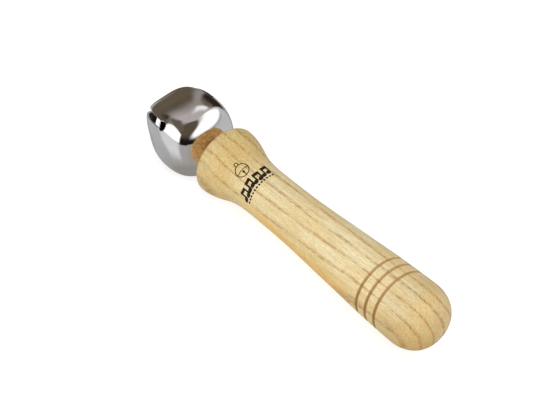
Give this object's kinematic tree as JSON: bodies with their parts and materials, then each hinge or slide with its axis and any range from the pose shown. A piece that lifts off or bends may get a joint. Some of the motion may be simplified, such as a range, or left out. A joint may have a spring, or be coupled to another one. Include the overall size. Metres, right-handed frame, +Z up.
{
  "type": "sleigh bells",
  "caption": "Hand-held jingle bell: one slotted chrome bell with a loose steel pellet, screwed to the flared end of a turned ash handle with grooves near its domed butt.",
  "frame": {"origin": "on the handle's axis, halfway along the whole instrument (the centre of its bounding box)", "axes": "+X along the handle's axis from the domed butt to the bell's mouth, +Z up with the handle lying level, +Y to the left of +X"},
  "size_m": [0.1746, 0.0338, 0.0338],
  "materials": {
    "ash_wood": "clear satin lacquer over straight-grained ash",
    "collar_wood": "brown-stained turned wood",
    "bell_chrome": "polished chrome plate on stamped steel",
    "zinc_steel": "zinc plated",
    "pellet_steel": "ground steel ball"
  },
  "bodies": {
    "instrument": {"handle": "ash_wood", "spacer_collar": "collar_wood", "bell_shell": "bell_chrome", "inner_washer": "zinc_steel", "fixing_screw": "zinc_steel"},
    "pellet": {"pellet": "pellet_steel"}
  },
  "joints": [
    {"name": "pellet_rattle", "type": "slide", "parent": "instrument", "child": "pellet", "axis": [0, 0, 1], "range_m": [0, 0.0212]}
  ]
}
